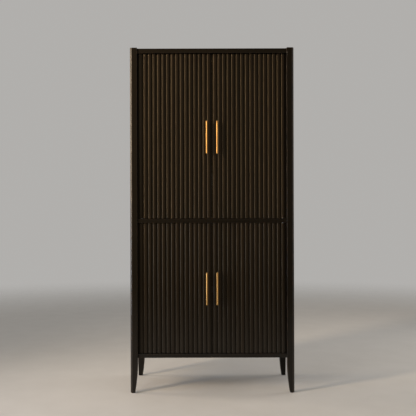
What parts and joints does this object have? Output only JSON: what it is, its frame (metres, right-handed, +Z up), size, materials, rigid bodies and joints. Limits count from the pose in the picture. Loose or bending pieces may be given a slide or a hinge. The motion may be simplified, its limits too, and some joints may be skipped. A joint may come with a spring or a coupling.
{
  "type": "bar armoire",
  "caption": "Tall dark wood bar armoire with vertically reeded double doors in two tiers, brass bar pulls and tapered legs",
  "frame": {"origin": "on the floor under the middle of the armoire, pulls included", "axes": "+X to the right seen from the front, +Y to the back, +Z up; the doors face -Y"},
  "size_m": [1.022, 0.523, 2.152],
  "materials": {
    "dark_wood": "espresso stain under satin lacquer",
    "post_wood": "espresso stain under satin lacquer",
    "inner_wood": "brown stain, thin matt lacquer",
    "brass": "aged, satin",
    "steel": "plain",
    "mirror": "silvered glass",
    "nylon": "black nylon"
  },
  "bodies": {
    "case": {"post_front_left": "post_wood", "post_front_right": "post_wood", "post_back_left": "post_wood", "post_back_right": "post_wood", "glide_front_left": "nylon", "glide_front_right": "nylon", "glide_back_left": "nylon", "glide_back_right": "nylon", "rail_top": "dark_wood", "rail_middle": "dark_wood", "rail_bottom": "dark_wood", "side_left": "dark_wood", "side_right": "dark_wood", "top_board": "dark_wood", "divider_board": "inner_wood", "bottom_board": "inner_wood", "glass_shelf": "inner_wood", "bar_shelf": "inner_wood", "lower_shelf": "inner_wood", "back_upper": "inner_wood", "back_lower": "inner_wood", "stemware_rack": "inner_wood", "bottle_cradle_front": "inner_wood", "bottle_cradle_back": "inner_wood", "bar_mirror": "mirror", "rail_leaf_upper_left_bottom": "steel", "rail_leaf_upper_left_top": "steel", "rail_leaf_upper_right_bottom": "steel", "rail_leaf_upper_right_top": "steel", "catch_upper": "nylon", "rail_leaf_lower_left_bottom": "steel", "rail_leaf_lower_left_top": "steel", "rail_leaf_lower_right_bottom": "steel", "rail_leaf_lower_right_top": "steel", "catch_lower": "nylon"},
    "upper_left_door": {"door_board_upper_left": "dark_wood", "door_reeding_upper_left": "dark_wood", "pull_upper_left": "brass", "hinge_leaf_upper_left_bottom": "steel", "hinge_leaf_upper_left_top": "steel", "strike_upper_left": "steel"},
    "upper_right_door": {"door_board_upper_right": "dark_wood", "door_reeding_upper_right": "dark_wood", "pull_upper_right": "brass", "hinge_leaf_upper_right_bottom": "steel", "hinge_leaf_upper_right_top": "steel", "strike_upper_right": "steel"},
    "lower_left_door": {"door_board_lower_left": "dark_wood", "door_reeding_lower_left": "dark_wood", "pull_lower_left": "brass", "hinge_leaf_lower_left_bottom": "steel", "hinge_leaf_lower_left_top": "steel", "strike_lower_left": "steel"},
    "lower_right_door": {"door_board_lower_right": "dark_wood", "door_reeding_lower_right": "dark_wood", "pull_lower_right": "brass", "hinge_leaf_lower_right_bottom": "steel", "hinge_leaf_lower_right_top": "steel", "strike_lower_right": "steel"}
  },
  "joints": [
    {"name": "upper_left_door_hinge", "type": "hinge", "parent": "case", "child": "upper_left_door", "pos_m": [-0.441, -0.2102, 1.089], "axis": [0, 0, -1], "range_deg": [0, 100]},
    {"name": "upper_right_door_hinge", "type": "hinge", "parent": "case", "child": "upper_right_door", "pos_m": [0.441, -0.2102, 1.089], "axis": [0, 0, 1], "range_deg": [0, 100]},
    {"name": "lower_left_door_hinge", "type": "hinge", "parent": "case", "child": "lower_left_door", "pos_m": [-0.441, -0.2102, 0.245], "axis": [0, 0, -1], "range_deg": [0, 100]},
    {"name": "lower_right_door_hinge", "type": "hinge", "parent": "case", "child": "lower_right_door", "pos_m": [0.441, -0.2102, 0.245], "axis": [0, 0, 1], "range_deg": [0, 100]}
  ]
}
